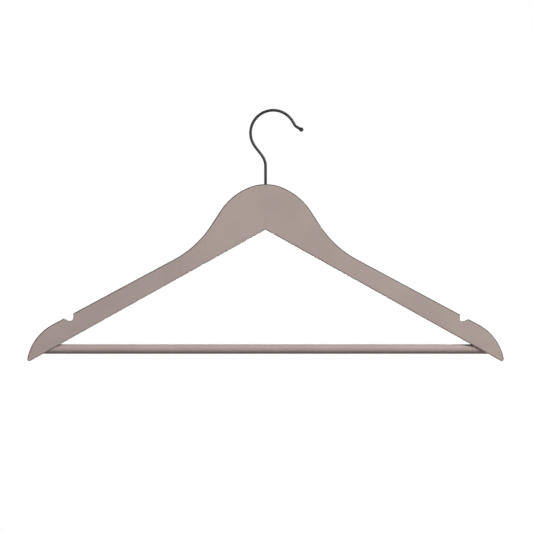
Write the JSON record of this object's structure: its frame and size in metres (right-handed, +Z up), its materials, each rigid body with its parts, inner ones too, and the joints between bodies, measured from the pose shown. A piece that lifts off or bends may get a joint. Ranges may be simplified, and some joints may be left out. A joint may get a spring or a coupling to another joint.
{
  "type": "trouser hanger",
  "caption": "Flat painted wooden clothes hanger with strap notches, a round trouser bar between its arms and a swivelling bent-wire hook with a ball end.",
  "frame": {"origin": "top of the hook's loop, on the inside of the wire, where the hanger rests on a rail", "axes": "+X along the board's width, to the right seen from the front; +Y to the back, so the front face looks along -Y; +Z up"},
  "size_m": [0.445, 0.012, 0.2358],
  "materials": {
    "painted_wood": "solid wood board under a smooth, opaque taupe paint with a low satin sheen",
    "painted_bar": "round wooden dowel under the same taupe paint, a little glossier than the board",
    "brad_steel": "plain steel brad, its head painted over",
    "hook_steel": "steel wire with a dark grey, satin plated surface"
  },
  "bodies": {
    "hook_body": {"hook": "hook_steel"},
    "board_body": {"left_arm": "painted_wood", "right_arm": "painted_wood", "trouser_bar": "painted_bar", "bar_brad_left": "brad_steel", "bar_brad_right": "brad_steel"}
  },
  "joints": [
    {"name": "hook_swivel", "type": "hinge", "parent": "hook_body", "child": "board_body", "pos_m": [-0.00716, 0, -0.06797], "axis": [0, 0, 1], "continuous": true}
  ]
}
